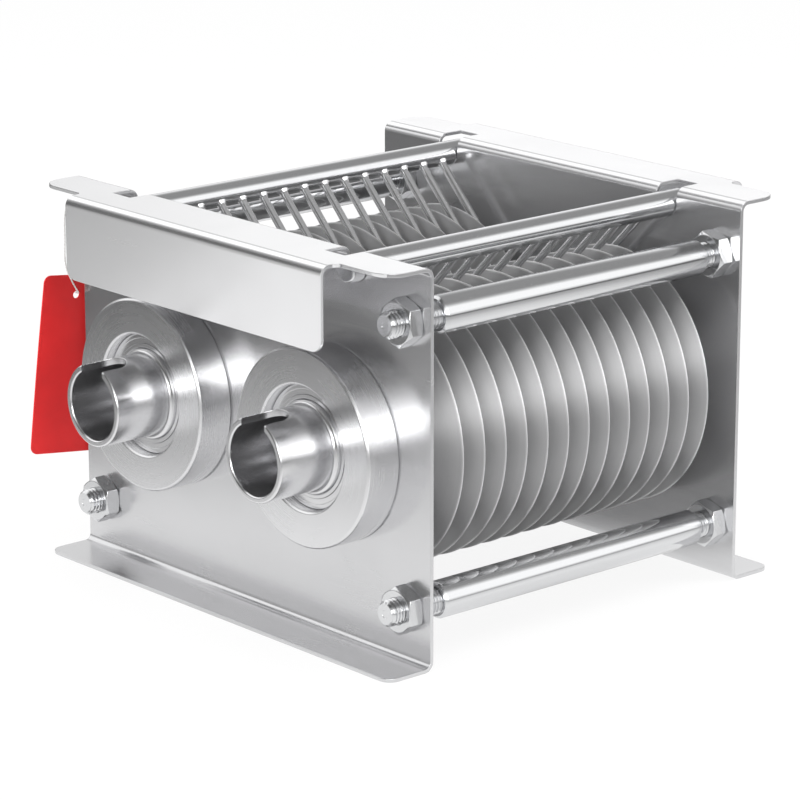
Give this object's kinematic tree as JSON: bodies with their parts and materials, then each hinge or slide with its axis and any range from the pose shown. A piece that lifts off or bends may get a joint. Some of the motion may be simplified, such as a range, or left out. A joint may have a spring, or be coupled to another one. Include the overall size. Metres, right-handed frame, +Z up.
{
  "type": "jerky slicer blade cartridge",
  "caption": "Blade cartridge of a jerky slicer: round blades on hollow slotted drive shafts between bent steel side plates, with lift-out wire combs.",
  "frame": {"origin": "centre of the front foot's underside, on the floor plane, midway between the two shafts", "axes": "+Z up, -Y along the shafts out of their slotted drive ends, +X to the right seen from the drive ends"},
  "size_m": [0.2078, 0.2235, 0.15],
  "materials": {
    "brushed_sheet": "fine brushed, nearly mirror on the flanges",
    "polished_rod": "polished",
    "nut_steel": "satin",
    "turned_steel": "fine turned",
    "bearing_steel": "ground",
    "shaft_steel": "turned, polished at the stub",
    "blade_steel": "satin with a ground edge",
    "spacer_metal": "turned",
    "finger_wire": "drawn, bright",
    "tag_card": "coated card, red",
    "tag_thread": "twisted thread"
  },
  "bodies": {
    "frame": {"front_side_plate": "brushed_sheet", "rear_side_plate": "brushed_sheet", "tie_rod_top_left": "polished_rod", "tie_rod_top_right": "polished_rod", "tie_rod_bottom_left": "polished_rod", "tie_rod_bottom_right": "polished_rod", "front_nuts": "nut_steel", "rear_nuts": "nut_steel", "housing_front_left": "turned_steel", "outer_race_front_left": "bearing_steel", "housing_front_right": "turned_steel", "outer_race_front_right": "bearing_steel", "housing_rear_left": "turned_steel", "outer_race_rear_left": "bearing_steel", "housing_rear_right": "turned_steel", "outer_race_rear_right": "bearing_steel", "hang_tag": "tag_card", "tag_string": "tag_thread"},
    "left_rotor": {"left_shaft": "shaft_steel", "left_key": "nut_steel", "inner_race_front_left": "bearing_steel", "inner_race_rear_left": "bearing_steel", "left_blade_1": "blade_steel", "left_blade_2": "blade_steel", "left_blade_3": "blade_steel", "left_blade_4": "blade_steel", "left_blade_5": "blade_steel", "left_blade_6": "blade_steel", "left_blade_7": "blade_steel", "left_blade_8": "blade_steel", "left_blade_9": "blade_steel", "left_blade_10": "blade_steel", "left_blade_11": "blade_steel", "left_blade_12": "blade_steel", "left_blade_13": "blade_steel", "left_spacers": "spacer_metal", "left_clamp_nut": "nut_steel"},
    "left_comb": {"left_comb_rod": "polished_rod", "left_comb_fingers": "finger_wire"},
    "right_rotor": {"right_shaft": "shaft_steel", "right_key": "nut_steel", "inner_race_front_right": "bearing_steel", "inner_race_rear_right": "bearing_steel", "right_blade_1": "blade_steel", "right_blade_2": "blade_steel", "right_blade_3": "blade_steel", "right_blade_4": "blade_steel", "right_blade_5": "blade_steel", "right_blade_6": "blade_steel", "right_blade_7": "blade_steel", "right_blade_8": "blade_steel", "right_blade_9": "blade_steel", "right_blade_10": "blade_steel", "right_blade_11": "blade_steel", "right_blade_12": "blade_steel", "right_blade_13": "blade_steel", "right_spacers": "spacer_metal", "right_clamp_nut": "nut_steel"},
    "right_comb": {"right_comb_rod": "polished_rod", "right_comb_fingers": "finger_wire"}
  },
  "joints": [
    {"name": "left_shaft_spin", "type": "hinge", "parent": "frame", "child": "left_rotor", "pos_m": [-0.048, 0.09, 0.075], "axis": [0, 1, 0], "continuous": true},
    {"name": "right_shaft_spin", "type": "hinge", "parent": "frame", "child": "right_rotor", "pos_m": [0.048, 0.09, 0.075], "axis": [0, 1, 0], "continuous": true},
    {"name": "left_comb_lift", "type": "slide", "parent": "frame", "child": "left_comb", "axis": [0, 0, 1], "range_m": [0, 0.06]},
    {"name": "right_comb_lift", "type": "slide", "parent": "frame", "child": "right_comb", "axis": [0, 0, 1], "range_m": [0, 0.06]}
  ]
}
